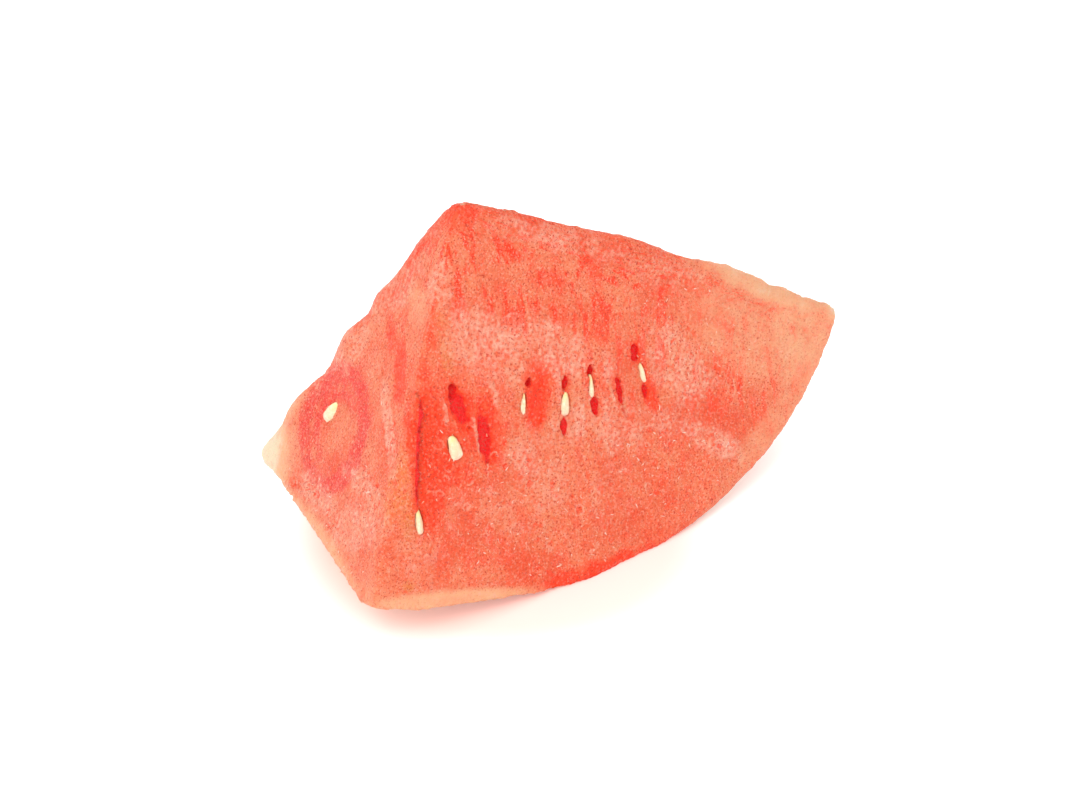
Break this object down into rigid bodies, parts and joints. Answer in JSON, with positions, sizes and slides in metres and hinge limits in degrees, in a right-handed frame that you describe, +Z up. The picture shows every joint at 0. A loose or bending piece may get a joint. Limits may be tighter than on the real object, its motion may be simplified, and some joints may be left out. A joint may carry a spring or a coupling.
{
  "type": "watermelon wedge",
  "caption": "Peeled eighth of half a watermelon, cut lengthwise, resting on its trimmed rind side, with pale soft seeds set in the cut faces.",
  "frame": {"origin": "on the table, under the middle of the wedge's box", "axes": "+Z up; +X towards the tip end, along the wedge's longest side; -Y is the front, where the long cut face with the row of seeds looks"},
  "size_m": [0.1622, 0.1094, 0.1006],
  "materials": {
    "flesh": "satin",
    "seed": "gloss"
  },
  "bodies": {
    "root": {"flesh": "flesh", "seed_crosscut": "seed", "seed_front_1": "seed", "seed_front_2": "seed", "seed_front_3": "seed", "seed_front_4": "seed", "seed_front_5": "seed", "seed_front_6": "seed", "seed_back_1": "seed", "seed_back_2": "seed", "seed_back_3": "seed", "seed_back_4": "seed", "seed_back_5": "seed"}
  },
  "joints": []
}
